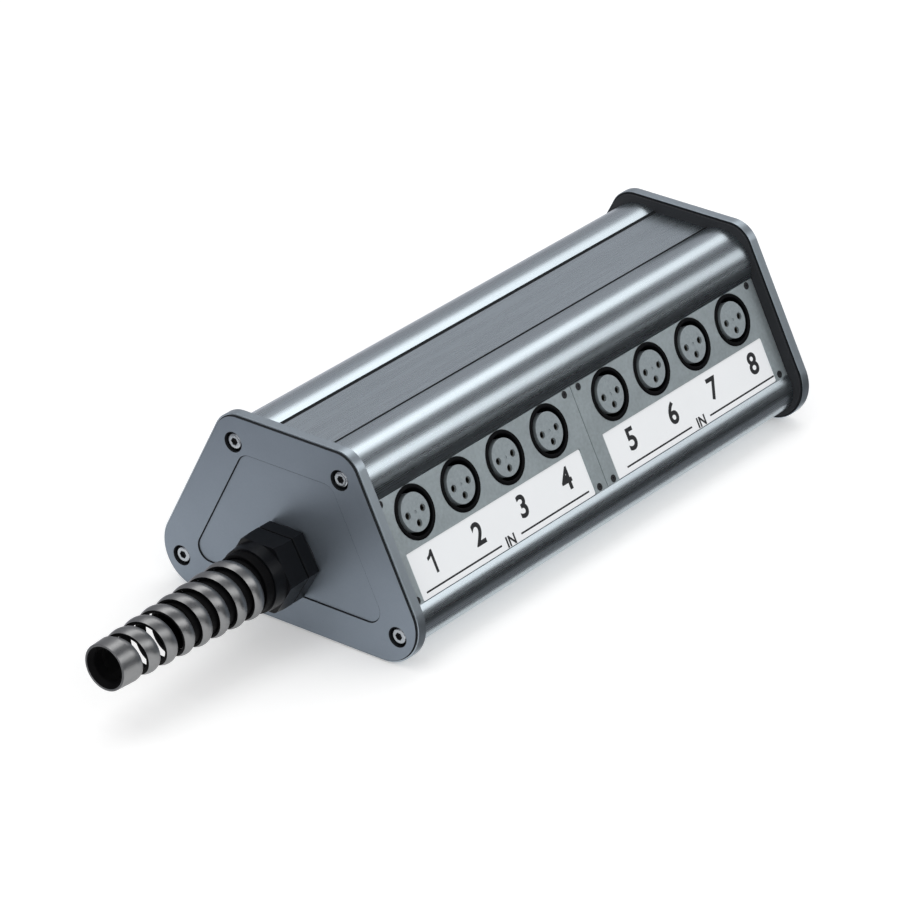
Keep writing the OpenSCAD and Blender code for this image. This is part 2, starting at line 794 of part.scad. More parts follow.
gland_cap_nut();
bend_relief_spiral();
bend_relief_sleeve();
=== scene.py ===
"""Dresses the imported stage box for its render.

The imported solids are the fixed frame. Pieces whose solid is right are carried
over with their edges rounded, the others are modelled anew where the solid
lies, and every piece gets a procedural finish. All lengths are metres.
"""

from __future__ import annotations

import logging
import math
from dataclasses import dataclass, field
from enum import Enum
from typing import Callable, Iterable, Sequence

import bmesh
import bpy
from mathutils import Matrix, Vector

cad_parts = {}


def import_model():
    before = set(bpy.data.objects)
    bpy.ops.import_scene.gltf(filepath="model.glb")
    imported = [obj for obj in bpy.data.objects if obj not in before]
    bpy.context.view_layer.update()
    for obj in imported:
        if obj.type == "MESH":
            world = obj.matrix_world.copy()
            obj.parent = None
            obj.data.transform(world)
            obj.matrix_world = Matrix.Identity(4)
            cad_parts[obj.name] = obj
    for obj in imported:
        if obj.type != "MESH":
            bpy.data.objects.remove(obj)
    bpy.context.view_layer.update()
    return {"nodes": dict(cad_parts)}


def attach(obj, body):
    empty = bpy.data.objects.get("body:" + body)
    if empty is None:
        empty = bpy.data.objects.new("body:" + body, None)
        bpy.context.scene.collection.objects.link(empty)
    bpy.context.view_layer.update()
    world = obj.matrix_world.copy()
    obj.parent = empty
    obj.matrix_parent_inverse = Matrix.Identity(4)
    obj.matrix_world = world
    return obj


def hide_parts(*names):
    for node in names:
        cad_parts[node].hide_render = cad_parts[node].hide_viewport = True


LOG = logging.getLogger("stage_box")
MM = 0.001
Colour = tuple[float, float, float]
Triple = tuple[float, float, float]


# Shader maths


class Value:
    """A number on a node socket; arithmetic on it adds Math nodes."""

    def __init__(self, graph: "Graph", socket: bpy.types.NodeSocket) -> None:
        """Wraps one output socket of a graph."""
        self.graph = graph
        self.socket = socket

    def _math(self, operation: str, *terms: "Value | float") -> "Value":
        """Adds one Math node.

        Args:
            operation: The node's operation.
            terms: Its inputs in order.

        Returns:
            The node's result.
        """
        feeds = dict(enumerate(terms))
        node = self.graph.node("ShaderNodeMath", {"operation": operation}, feeds)
        return Value(self.graph, node.outputs[0])

    def __add__(self, other: "Value | float") -> "Value":
        """Adds other."""
        return self._math("ADD", self, other)

    def __sub__(self, other: "Value | float") -> "Value":
        """Takes other away."""
        return self._math("SUBTRACT", self, other)

    def __rsub__(self, other: float) -> "Value":
        """Takes this from other."""
        return self._math("SUBTRACT", other, self)

    def __mul__(self, other: "Value | float") -> "Value":
        """Multiplies by other."""
        return self._math("MULTIPLY", self, other)

    __radd__ = __add__
    __rmul__ = __mul__

    def at_most(self, limit: "Value | float") -> "Value":
        """Gives the smaller of this and limit."""
        return self._math("MINIMUM", self, limit)


class Graph:
    """The nodes of one material or of the world."""

    def __init__(self, tree: bpy.types.NodeTree) -> None:
        """Empties a tree and keeps it."""
        self.tree = tree
        tree.nodes.clear()

    def node(
        self, kind: str, settings: dict | None = None, feeds: dict | None = None
    ) -> bpy.types.Node:
        """Adds one node.

        Args:
            kind: The node's type.
            settings: Its attributes, which are set first.
            feeds: A value, Value or socket for each input.

        Returns:
            The new node.
        """
        node = self.tree.nodes.new(kind)
        for key, value in (settings or {}).items():
            setattr(node, key, value)
        for key, value in (feeds or {}).items():
            source = value.socket if isinstance(value, Value) else value
            if isinstance(source, bpy.types.NodeSocket):
                self.tree.links.new(source, node.inputs[key])
            else:
                node.inputs[key].default_value = source
        return node

    def value(self, node: bpy.types.Node, output: str) -> Value:
        """Gives one output of a node as a number."""
        return Value(self, node.outputs[output])


# Finishes

WHITE = (1.0, 1.0, 1.0, 1.0)


def new_material(name: str) -> tuple[bpy.types.Material, Graph]:
    """Makes a material with an empty graph.

    Args:
        name: The material's name.

    Returns:
        The material and its graph.
    """
    material = bpy.data.materials.new(name)
    material.use_nodes = True
    return material, Graph(material.node_tree)


@dataclass(frozen=True)
class Layer:
    """One procedural pattern of a finish.

    size is the width of its marks, stretch how many times longer they are
    along each axis. shade, gloss and relief say how far it swings the colour,
    the roughness and the height of the surface.
    """

    size: float
    stretch: Triple = (1.0, 1.0, 1.0)
    shade: float = 0.0
    gloss: float = 0.0
    relief: float = 0.0
    detail: float = 2.0


@dataclass(frozen=True)
class Finish:
    """A surface finish: its plain values and the patterns laid over them."""

    name: str
    colour: Colour
    roughness: float
    metallic: float = 0.0
    layers: tuple[Layer, ...] = ()
    specular: float = 0.5
    ior: float = 1.5

    def material(self) -> bpy.types.Material:
        """Builds the finish, or gives the one that is there.

        Returns:
            The material.
        """
        found = bpy.data.materials.get(self.name)
        if found:
            return found
        material, graph = new_material(self.name)
        place = graph.node("ShaderNodeTexCoord").outputs["Object"]
        tone: Value | float = 1.0
        rough: Value | float = self.roughness
        height: Value | float = 0.0
        for layer in self.layers:
            swing = self._swing(graph, place, layer)
            tone = tone + swing * (2 * layer.shade) if layer.shade else tone
            rough = rough + swing * (2 * layer.gloss) if layer.gloss else rough
            height = height + swing * (2 * layer.relief) if layer.relief else height
        feeds = {
            "Base Color": (*self.colour, 1.0),
            "Roughness": rough,
            "Metallic": self.metallic,
            "Specular IOR Level": self.specular,
            "IOR": self.ior,
        }
        if isinstance(tone, Value):
            mix = graph.node(
                "ShaderNodeMix",
                {"data_type": "RGBA", "blend_type": "MULTIPLY"},
                {"Factor": 1.0, 6: (*self.colour, 1.0), 7: tone},
            )
            feeds["Base Color"] = mix.outputs[2]
        if isinstance(height, Value):
            bump = graph.node("ShaderNodeBump", {}, {"Height": height, "Distance": 1.0})
            feeds["Normal"] = bump.outputs[0]
        shader = graph.node("ShaderNodeBsdfPrincipled", {}, feeds)
        graph.node("ShaderNodeOutputMaterial", {}, {"Surface": shader.outputs[0]})
        material.diffuse_color = (*self.colour, 1.0)
        return material

    @staticmethod
    def _swing(graph: Graph, place: bpy.types.NodeSocket, layer: Layer) -> Value:
        """Adds one layer's noise.

        Args:
            graph: The material's graph.
            place: The Object coordinates.
            layer: The layer.

        Returns:
            A number about 0, up to 0.5 either way.
        """
        scale = tuple(1.0 / (layer.size * times) for times in layer.stretch)
        spread = graph.node("ShaderNodeMapping", {}, {"Vector": place, "Scale": scale})
        feeds = {"Vector": spread.outputs[0], "Scale": 1.0, "Detail": layer.detail}
        noise = graph.node("ShaderNodeTexNoise", {}, feeds)
        return graph.value(noise, "Fac") - 0.5


ALONG = (60.0, 1.0, 1.0)
TURNED = (Layer(0.25 * MM, shade=0.06, gloss=0.1, relief=0.001 * MM),)
WORN = (Layer(0.3 * MM, shade=0.1, gloss=0.1),)

SATIN_ALUMINIUM = Finish(
    "satin_aluminium_drawn", (0.555, 0.625, 0.67), 0.28, 1.0,
    (
        Layer(0.4 * MM, ALONG, shade=0.04, gloss=0.05, relief=0.00012 * MM),
        Layer(2.5 * MM, ALONG, shade=0.05, gloss=0.02),
        Layer(22 * MM, shade=0.04),
    ),
)
PLATE_ALUMINIUM = Finish(
    "plate_aluminium_satin", (0.245, 0.285, 0.335), 0.45, 0.8,
    (
        Layer(0.7 * MM, shade=0.08, gloss=0.08, relief=0.006 * MM, detail=4.0),
        Layer(18 * MM, shade=0.06),
    ),
)
# A lighter copy of the plate's metal for the rim and the step's ledge: a painted highlight.
PLATE_RIM_PAINTED_HIGHLIGHT = Finish(
    "plate_rim_painted_highlight", (0.42, 0.48, 0.53), 0.38, 0.9,
    (
        Layer(0.6 * MM, shade=0.08, gloss=0.08, relief=0.004 * MM, detail=4.0),
        Layer(18 * MM, shade=0.05),
    ),
)
# Near-black painted shade for a plate's step and field walls and its holes; the plate's inner side
# gets the same near-black.
PLATE_DARK = Finish(
    "plate_shade_dark", (0.012, 0.014, 0.017), 0.6, 0.0,
    (Layer(0.6 * MM, shade=0.3, gloss=0.1, relief=0.004 * MM),),
    specular=0.2,
)
PANEL_METAL = Finish(
    "panel_metal_mottled", (0.42, 0.48, 0.505), 0.42, 0.7,
    (
        Layer(1.4 * MM, shade=0.20, gloss=0.12, relief=0.004 * MM, detail=5.0),
        Layer(14 * MM, shade=0.14),
    ),
)
# Painted shade in the fine grooves beside the housing's flat top.
GROOVE_DARK = Finish(
    "groove_shade_dark", (0.05, 0.056, 0.062), 0.5, 0.3,
    (Layer(0.5 * MM, ALONG, shade=0.2, gloss=0.1),),
)
GASKET_RUBBER = Finish(
    "gasket_rubber_matt", (0.018, 0.02, 0.024), 0.7, 0.0,
    (Layer(0.6 * MM, shade=0.3, gloss=0.1, relief=0.01 * MM),),
)
BRIGHT_STEEL = Finish("bright_steel_turned", (0.74, 0.76, 0.78), 0.2, 1.0, TURNED)
SCREW_STEEL = Finish("screw_steel_turned", (0.42, 0.45, 0.48), 0.24, 1.0, TURNED)
# Black oxide steel of the panel screws; the same near-black is painted shade in the key sockets of
# the end screws.
BLACK_STEEL_AND_KEY_SHADE = Finish(
    "black_oxide_and_painted_key_shade", (0.02, 0.021, 0.024), 0.4, 0.3,
    (Layer(0.3 * MM, shade=0.3, gloss=0.1),),
)
LABEL_WHITE = Finish(
    "label_white_film", (0.86, 0.88, 0.90), 0.45, 0.0,
    (Layer(0.5 * MM, gloss=0.08, relief=0.002 * MM), Layer(30 * MM, shade=0.015)),
)
LABEL_INK = Finish(
    "label_ink_black", (0.012, 0.013, 0.016), 0.5, 0.0,
    (Layer(0.4 * MM, gloss=0.1, shade=0.1),),
)
SOCKET_BLACK = Finish(
    "socket_black_moulded", (0.002, 0.0022, 0.003), 0.5, 0.0,
    (Layer(0.35 * MM, shade=0.2, gloss=0.12, relief=0.004 * MM),),
    specular=0.08,
)
INSERT_GREY = Finish(
    "insert_grey_moulded", (0.26, 0.30, 0.32), 0.45, 0.1,
    (Layer(1.1 * MM, shade=0.28, gloss=0.1, relief=0.006 * MM, detail=4.0),),
)
CONTACT_METAL = Finish("contact_metal_worn", (0.35, 0.32, 0.27), 0.3, 1.0, WORN)
BOARD_GREEN = Finish(
    "board_green_lacquer", (0.01, 0.10, 0.05), 0.35, 0.0,
    (Layer(2.2 * MM, (4.0, 1.0, 1.0), shade=0.4), Layer(0.4 * MM, gloss=0.1, relief=0.004 * MM)),
)
HEADER_BLACK = Finish(
    "header_black_moulded", (0.02, 0.02, 0.022), 0.5, 0.0,
    (Layer(0.4 * MM, shade=0.2, gloss=0.1, relief=0.004 * MM),),
)
STANDOFF_BRASS = Finish("standoff_brass_turned", (0.72, 0.58, 0.30), 0.28, 1.0, WORN)
LOCKNUT_METAL = Finish(
    "locknut_metal_plated", (0.62, 0.63, 0.64), 0.3, 1.0,
    (Layer(0.5 * MM, shade=0.1, gloss=0.1, relief=0.002 * MM),),
)
CLAW_WHITE = Finish(
    "claw_white_moulded", (0.72, 0.73, 0.72), 0.45, 0.0,
    (Layer(0.4 * MM, shade=0.04, gloss=0.08, relief=0.004 * MM),),
)
GLAND_BLACK = Finish(
    "gland_black_moulded", (0.004, 0.0045, 0.006), 0.36, 0.0,
    (Layer(0.45 * MM, shade=0.25, gloss=0.12, relief=0.006 * MM), Layer(6 * MM, gloss=0.05)),
    specular=0.22,
)
SPIRAL_BLACK = Finish(
    "spiral_black_flexible", (0.026, 0.030, 0.035), 0.34, 0.0,
    (Layer(0.5 * MM, shade=0.25, gloss=0.12, relief=0.006 * MM), Layer(7 * MM, gloss=0.08)),
    specular=1.0, ior=2.1,
)
# Near-black painted shade inside the bend relief: the sleeve stands in for the shade inside the
# spiral, and the spiral's inner side, strip edges, the tip's mouth and the sunk root ring are
# painted with it.
INSIDE_PAINTED_SHADE = Finish(
    "inside_painted_shade_matt", (0.002, 0.002, 0.0025), 0.6, 0.0,
    (Layer(0.5 * MM, shade=0.3, gloss=0.1, relief=0.004 * MM),),
    specular=0.1,
)


# Modelling


def corners(items: Iterable) -> list[bmesh.types.BMVert]:
    """Picks the vertices out of an operator's result."""
    return [item for item in items if isinstance(item, bmesh.types.BMVert)]


def link(thing: bpy.types.Object) -> bpy.types.Object:
    """Adds an object to the scene and gives it back."""
    bpy.context.scene.collection.objects.link(thing)
    return thing


class Form:
    """A mesh in the making, with the operators that the pieces need."""

    carry_gap = 0.002 * MM
    seam_gap = 0.001 * MM
    flat_angle = math.radians(0.4)
    smooth_angle = math.radians(40.0)
    turn_steps = 96

    def __init__(self) -> None:
        """Starts with nothing."""
        self.bm = bmesh.new()

    def carry(self, node: str) -> "Form":
        """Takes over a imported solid's mesh, with its triangles joined.

        Args:
            node: The solid's name.

        Returns:
            This form.
        """
        self.bm.from_mesh(bpy.data.objects[node].data)
        for face in self.bm.faces:
            face.material_index = 0
        bmesh.ops.remove_doubles(self.bm, verts=self.bm.verts, dist=self.carry_gap)
        bmesh.ops.dissolve_limit(
            self.bm, angle_limit=self.flat_angle, use_dissolve_boundaries=False,
            verts=self.bm.verts, edges=self.bm.edges,
        )
        return self

    def loop(self, radius: float, centre: Triple = (0.0, 0.0, 0.0), steps: int = 64) -> list:
        """Draws a circle, or a polygon of few steps.

        Args:
            radius: Its radius to the corners.
            centre: Its centre.
            steps: Its corners.

        Returns:
            Its edges.
        """
        made = bmesh.ops.create_circle(
            self.bm, cap_ends=False, segments=steps, radius=radius,
            matrix=Matrix.Translation(centre),
        )
        return list(dict.fromkeys(edge for vert in made["verts"] for edge in vert.link_edges))

    def sheet(
        self, edges: Iterable, thickness: float, pocket: Sequence = (), depth: float = 0.0
    ) -> "Form":
        """Fills the area between loops and gives it a thickness downwards.

        Args:
            edges: The edges of the outer loop and of the holes.
            thickness: The thickness.
            pocket: The edges of a loop that is sunk and not cut through.
            depth: The pocket's depth.

        Returns:
            This form.
        """
        filled = bmesh.ops.triangle_fill(self.bm, edges=[*edges, *pocket], use_beauty=True)
        faces = [item for item in filled["geom"] if isinstance(item, bmesh.types.BMFace)]
        floor = bmesh.ops.contextual_create(self.bm, geom=list(pocket))["faces"] if pocket else []
        grown = bmesh.ops.extrude_face_region(self.bm, geom=faces + floor)["geom"]
        bmesh.ops.translate(self.bm, vec=(0.0, 0.0, -thickness), verts=corners(grown))
        if floor:
            sunk = bmesh.ops.extrude_discrete_faces(self.bm, faces=floor)["faces"]
            bmesh.ops.translate(self.bm, vec=(0.0, 0.0, -depth), verts=list(sunk[0].verts))
        return self.outward()

    def block(self, size: Triple, centre: Triple) -> "Form":
        """Adds a block.

        Args:
            size: Its size.
            centre: Its middle.

        Returns:
            This form.
        """
        shape = Matrix.Translation(centre) @ Matrix.Diagonal((*size, 1.0))
        bmesh.ops.create_cube(self.bm, size=1.0, matrix=shape)
        return self

    def wire(self, points: Iterable[tuple[float, float]]) -> list:
        """Draws a closed profile.

        Args:
            points: Its corners as radius and height.

        Returns:
            Its vertices and then its edges.
        """
        verts = [self.bm.verts.new((radius, 0.0, height)) for radius, height in points]
        pairs = zip(verts, verts[1:] + verts[:1])
        return verts + [self.bm.edges.new(pair) for pair in pairs]

    def lathe(self, points: Iterable[tuple[float, float]]) -> "Form":
        """Turns a closed profile round the height axis.

        Args:
            points: Its corners as radius and height.

        Returns:
            This form.
        """
        bmesh.ops.spin(
            self.bm, geom=self.wire(points), cent=(0, 0, 0), axis=(0, 0, 1),
            angle=2 * math.pi, steps=self.turn_steps, use_merge=True,
        )
        bmesh.ops.remove_doubles(self.bm, verts=self.bm.verts, dist=self.seam_gap)
        return self.outward()

    def outward(self) -> "Form":
        """Turns all faces outwards."""
        bmesh.ops.recalc_face_normals(self.bm, faces=self.bm.faces)
        return self

    def thicken(self, height: float) -> "Form":
        """Gives the faces a thickness upwards.

        Args:
            height: The thickness.

        Returns:
            This form.
        """
        grown = bmesh.ops.extrude_face_region(self.bm, geom=list(self.bm.faces))["geom"]
        bmesh.ops.translate(self.bm, vec=(0.0, 0.0, height), verts=corners(grown))
        return self.outward()

    def soften(
        self, width: float, segments: int = 3, above: float = 28.0, test: Callable | None = None
    ) -> "Form":
        """Rounds the sharp edges.

        Args:
            width: Width of the rounding.
            segments: Its steps.
            above: The edge angle in degrees from which an edge is rounded.
            test: Says for an edge whether it is wanted.

        Returns:
            This form.
        """
        sharp = math.radians(above)
        edges = [
            edge for edge in self.bm.edges
            if edge.is_manifold and edge.calc_face_angle() > sharp and (not test or test(edge))
        ]
        bmesh.ops.bevel(
            self.bm, geom=edges, offset=width, offset_type="OFFSET", segments=segments, profile=0.5,
            affect="EDGES", material=-1, clamp_overlap=True, loop_slide=True,
        )
        return self

    def place(self, matrix: Matrix) -> "Form":
        """Moves the whole form."""
        bmesh.ops.transform(self.bm, matrix=matrix, verts=self.bm.verts)
        return self

    def repeat(self, places: Sequence[Matrix]) -> "Form":
        """Puts a copy of the form at each place, and takes the first away.

        Args:
            places: Where the copies go.

        Returns:
            This form.
        """
        first = list(self.bm.verts) + list(self.bm.edges) + list(self.bm.faces)
        for matrix in places:
            made = bmesh.ops.duplicate(self.bm, geom=first)["geom"]
            bmesh.ops.transform(self.bm, matrix=matrix, verts=corners(made))
        bmesh.ops.delete(self.bm, geom=corners(first), context="VERTS")
        return self

    def take(self, mesh: bpy.types.Mesh, matrix: Matrix) -> "Form":
        """Adds another mesh.

        Args:
            mesh: The mesh, which is removed.
            matrix: Where it goes.

        Returns:
            This form.
        """
        mesh.transform(matrix)
        self.bm.from_mesh(mesh)
        bpy.data.meshes.remove(mesh)
        return self

    def merge(self, other: "Form") -> "Form":
        """Adds another form.

        Args:
            other: The other form, which is used up.

        Returns:
            This form.
        """
        mesh = bpy.data.meshes.new("part")
        other.bm.to_mesh(mesh)
        other.bm.free()
        return self.take(mesh, Matrix.Identity(4))

    def paint(self, choose: Callable[[bmesh.types.BMFace], int]) -> "Form":
        """Gives each face its finish.

        Args:
            choose: Says the number of a face's finish.

        Returns:
            This form.
        """
        for face in self.bm.faces:
            face.material_index = int(choose(face))
        return self

    def piece(self, name: str, *finishes: Finish, level: bool = True) -> bpy.types.Object:
        """Makes the object.

        Args:
            name: The piece's name.
            finishes: Its finishes, in the order of the numbers that paint() gave.
            level: Whether flat faces keep their own shading next to roundings.

        Returns:
            The object.
        """
        for face in self.bm.faces:
            face.smooth = True
        for edge in self.bm.edges:
            edge.smooth = not edge.is_manifold or edge.calc_face_angle() < self.smooth_angle
        mesh = bpy.data.meshes.new(name)
        for finish in finishes:
            mesh.materials.append(finish.material())
        self.bm.to_mesh(mesh)
        self.bm.free()
        made = link(bpy.data.objects.new(name, mesh))
        if level:
            modifier = made.modifiers.new("level_faces", "WEIGHTED_NORMAL")
            modifier.keep_sharp = True
            modifier.weight = 100
        return made


class Body(Enum):
    """The bodies that new pieces ride on."""

    BOX = "box"
    CAP_NUT = "cap_nut"


def fit(piece: bpy.types.Object, body: Body, slot: str, *nodes: str) -> None:
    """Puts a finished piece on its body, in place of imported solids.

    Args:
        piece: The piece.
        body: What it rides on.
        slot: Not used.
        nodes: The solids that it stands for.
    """
    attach(piece, body.value)
    if nodes:
        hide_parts(*nodes)
    LOG.info("%s: %d faces", piece.name, len(piece.data.polygons))


def carry_over(
    node: str, name: str, body: Body, slot: str, *finishes: Finish,
    edge: float, segments: int = 2, choose: Callable | None = None,
) -> None:
    """Takes over a solid with its edges rounded and puts it on its body.

    Args:
        node: The solid.
        name: The name of the piece that replaces it.
        body: What it rides on.
        slot: A slot name, handed on to fit().
        finishes: Its finishes.
        edge: Width of the rounding.
        segments: Its steps.
        choose: Says the number of each face's finish, as paint() needs it.
    """
    form = Form().carry(node).soften(edge, segments)
    if choose:
        form.paint(choose)
    fit(form.piece(name, *finishes), body, slot, node)


# Places


@dataclass(frozen=True)
class Lay:
    """Where things lie: the same values that the solids are made from."""

    slope: float = math.radians(26.885)
    face_y: float = 43.206 * MM
    face_z: float = 53.987 * MM
    gland_x: float = -83.6 * MM
    gland_z: float = 30.6 * MM
    panel_x: tuple[float, float] = (-10.525 * MM, 122.525 * MM)
    pitch: float = 30.0 * MM

    def on_face(self, x: float) -> Matrix:
        """Gives the place on the sockets' face: x along the box, y up the slope, z outwards."""
        spot = Matrix.Translation((x, -self.face_y, self.face_z))
        return spot @ Matrix.Rotation(math.pi / 2 - self.slope, 4, "X")

    def on_gland(self) -> Matrix:
        """Gives the place on the gland's axis, with z pointing out of the end plate."""
        spot = Matrix.Translation((self.gland_x, 0.0, self.gland_z))
        return spot @ Matrix.Rotation(-math.pi / 2, 4, "Y")

    def socket_x(self, socket: int) -> float:
        """Gives the place along the box of socket 1 to 8."""
        return self.panel_x[(socket - 1) // 4] + ((socket - 1) % 4 - 1.5) * self.pitch


LAY = Lay()


# The studio


def axes(right: Vector, up: Vector, back: Vector) -> Matrix:
    """Gives the turn that lays x, y and z along three directions."""
    return Matrix((right, up, back)).transposed().to_4x4()


@dataclass(frozen=True)
class Card:
    """A long reflector or flag beside the box that only reflections show.

    It spans the angles start to end, in degrees from the socket side over the
    top, seen from the box.
    """

    name: str
    start: float
    end: float
    grey: float


@dataclass(frozen=True)
class FloorCard:
    """A flat card on the floor that only reflections show."""

    name: str
    size: tuple[float, float]
    centre: tuple[float, float]
    grey: float


@dataclass(frozen=True)
class Softbox:
    """A long soft light, at an angle in degrees from the socket side over the top."""

    name: str
    angle: float
    distance: float
    width: float
    power: float
    centre: float


@dataclass
class Studio:
    """The floor, the lights, the cards and the camera."""

    azimuth: float = math.radians(-52.49)
    elevation: float = math.radians(27.24)
    roll: float = math.radians(0.03)
    stand: Triple = (-1435.5 * MM, -1120.2 * MM, 983.0 * MM)
    lens: float = 198.3
    sensor: float = 36.0
    view_end: float = 50.0
    world_light: float = 0.72
    world_seen: float = 0.28
    floor_size: float = 12.0
    floor_grey: float = 0.92
    floor_glow: float = 0.25
    axis_z: float = 0.05
    card_reach: float = 4.0
    card_distance: float = 1.5
    card_steps: int = 16
    light_length: float = 2.6
    cards: tuple[Card, ...] = (
        Card("card_front_low", -2.0, 22.0, 0.05),
        Card("card_front_high", 48.0, 90.0, 0.16),
        Card("card_back", 120.0, 182.0, 0.34),
    )
    card_lift: float = 0.4 * MM
    card_blue: float = 1.06
    floor_cards: tuple[FloorCard, ...] = (
        FloorCard("card_floor_black", (6.0, 0.815), (2.9, -0.4925), 0.03),
        FloorCard("card_floor_grey", (6.0, 0.021), (2.9, -0.0745), 0.15),
        FloorCard("card_floor_side", (0.9, 1.6), (-0.66, 0.5), 0.30),
        FloorCard("card_floor_back", (6.0, 3.0), (2.8, 1.62), 0.66),
    )
    lights: tuple[Softbox, ...] = (
        Softbox("softbox_back", 101.0, 1.3, 0.70, 4.9, 0.3),
        Softbox("softbox_front", 33.0, 1.2, 0.56, 3.8, -0.15),
    )

    def build(self) -> None:
        """Builds all of it."""
        self._camera()
        self._world()
        self._floor()
        for light in self.lights:
            self._light(light)
        for card in self.cards:
            self._card(card)
        for flat in self.floor_cards:
            form = Form().block((*flat.size, self.card_lift), (*flat.centre, self.card_lift))
            self._stage_piece(form, flat.name, self._grey(flat.name, flat.grey), True)

    def _camera(self) -> None:
        """Sets the camera at the photograph's place."""
        a, e, r = self.azimuth, self.elevation, self.roll
        back = Vector((math.sin(a) * math.cos(e), -math.cos(a) * math.cos(e), math.sin(e)))
        level = Vector((math.cos(a), math.sin(a), 0.0))
        rise = back.cross(level)
        right = level * math.cos(r) + rise * math.sin(r)
        up = rise * math.cos(r) - level * math.sin(r)
        data = bpy.data.cameras.new("camera")
        data.lens = self.lens
        data.sensor_width = self.sensor
        data.clip_end = self.view_end
        camera = link(bpy.data.objects.new("camera", data))
        camera.matrix_world = Matrix.Translation(self.stand) @ axes(right, up, back)
        bpy.context.scene.camera = camera
        bpy.context.scene.view_settings.view_transform = "Standard"

    def _world(self) -> None:
        """White wherever it is seen, and a softer level as light."""
        world = bpy.data.worlds.new("studio")
        bpy.context.scene.world = world
        world.use_nodes = True
        graph = Graph(world.node_tree)
        strength = self._seen(graph) * self.world_seen + self.world_light
        shader = graph.node("ShaderNodeBackground", {}, {"Color": WHITE, "Strength": strength})
        graph.node("ShaderNodeOutputWorld", {}, {"Surface": shader.outputs[0]})

    @staticmethod
    def _seen(graph: Graph) -> Value:
        """Finds the rays that show the background: straight, reflected or through.

        Args:
            graph: The graph that gets the nodes.

        Returns:
            1 on such a ray, and 0 on any other.
        """
        path = graph.node("ShaderNodeLightPath")
        seen = graph.value(path, "Is Camera Ray") + graph.value(path, "Is Glossy Ray")
        return (seen + graph.value(path, "Is Transmission Ray")).at_most(1.0)

    @staticmethod
    def _stage_piece(
        form: Form, name: str, material: bpy.types.Material, hidden: bool
    ) -> None:
        """Adds a piece that isn't part of the object.

        Args:
            form: Its mesh.
            name: Its name.
            material: Its material.
            hidden: Whether only reflections show it.
        """
        mesh = bpy.data.meshes.new(name)
        form.bm.to_mesh(mesh)
        form.bm.free()
        mesh.materials.append(material)
        made = link(bpy.data.objects.new(name, mesh))
        if hidden:
            made.visible_camera = False
            made.visible_diffuse = False
            made.visible_shadow = False
            made.visible_transmission = False

    def _floor(self) -> None:
        """A white floor that keeps the shadow."""
        material, graph = new_material("floor_white")
        feeds = {
            "Base Color": (self.floor_grey, self.floor_grey, self.floor_grey, 1.0),
            "Roughness": 1.0,
            "Specular IOR Level": 0.0,
            "Emission Color": WHITE,
            "Emission Strength": self._seen(graph) * self.floor_glow,
        }
        shader = graph.node("ShaderNodeBsdfPrincipled", {}, feeds)
        graph.node("ShaderNodeOutputMaterial", {}, {"Surface": shader.outputs[0]})
        form = Form()
        bmesh.ops.create_grid(form.bm, x_segments=1, y_segments=1, size=self.floor_size / 2)
        self._stage_piece(form, "studio_floor", material, False)

    def _grey(self, name: str, grey: float) -> bpy.types.Material:
        """Makes a card's even grey, which is a little blue.

        Args:
            name: The material's name.
            grey: Its brightness.

        Returns:
            The material.
        """
        material, graph = new_material(name)
        feeds = {"Color": (grey, grey, grey * self.card_blue, 1.0), "Strength": 1.0}
        shader = graph.node("ShaderNodeEmission", {}, feeds)
        graph.node("ShaderNodeOutputMaterial", {}, {"Surface": shader.outputs[0]})
        return material

    def _card(self, card: Card) -> None:
        """Bends a card round the box's axis.

        Args:
            card: Its angles and its grey.
        """
        form = Form()
        axis = (0.0, 0.0, self.axis_z)
        start = form.bm.verts.new((-self.card_reach, -self.card_distance, self.axis_z))
        end = form.bm.verts.new((self.card_reach, -self.card_distance, self.axis_z))
        edge = form.bm.edges.new((start, end))
        turn = Matrix.Rotation(-math.radians(card.start), 3, "X")
        bmesh.ops.rotate(form.bm, cent=axis, matrix=turn, verts=[start, end])
        bmesh.ops.spin(
            form.bm, geom=[start, end, edge], cent=axis, axis=(-1, 0, 0),
            angle=math.radians(card.end - card.start), steps=self.card_steps,
        )
        self._stage_piece(form, card.name, self._grey(card.name, card.grey), True)

    def _light(self, light: Softbox) -> None:
        """Hangs a soft light that faces the box.

        Args:
            light: Its place, size and power.
        """
        data = bpy.data.lights.new(light.name, "AREA")
        data.shape = "RECTANGLE"
        data.size = self.light_length
        data.size_y = light.width
        data.energy = light.power
        lamp = link(bpy.data.objects.new(light.name, data))
        a = math.radians(light.angle)
        out = Vector((0.0, -math.cos(a), math.sin(a)))
        side = Vector((1.0, 0.0, 0.0))
        spot = Vector((light.centre, 0.0, self.axis_z)) + out * light.distance
        lamp.matrix_world = Matrix.Translation(spot) @ axes(side, out.cross(side), out)


# The box


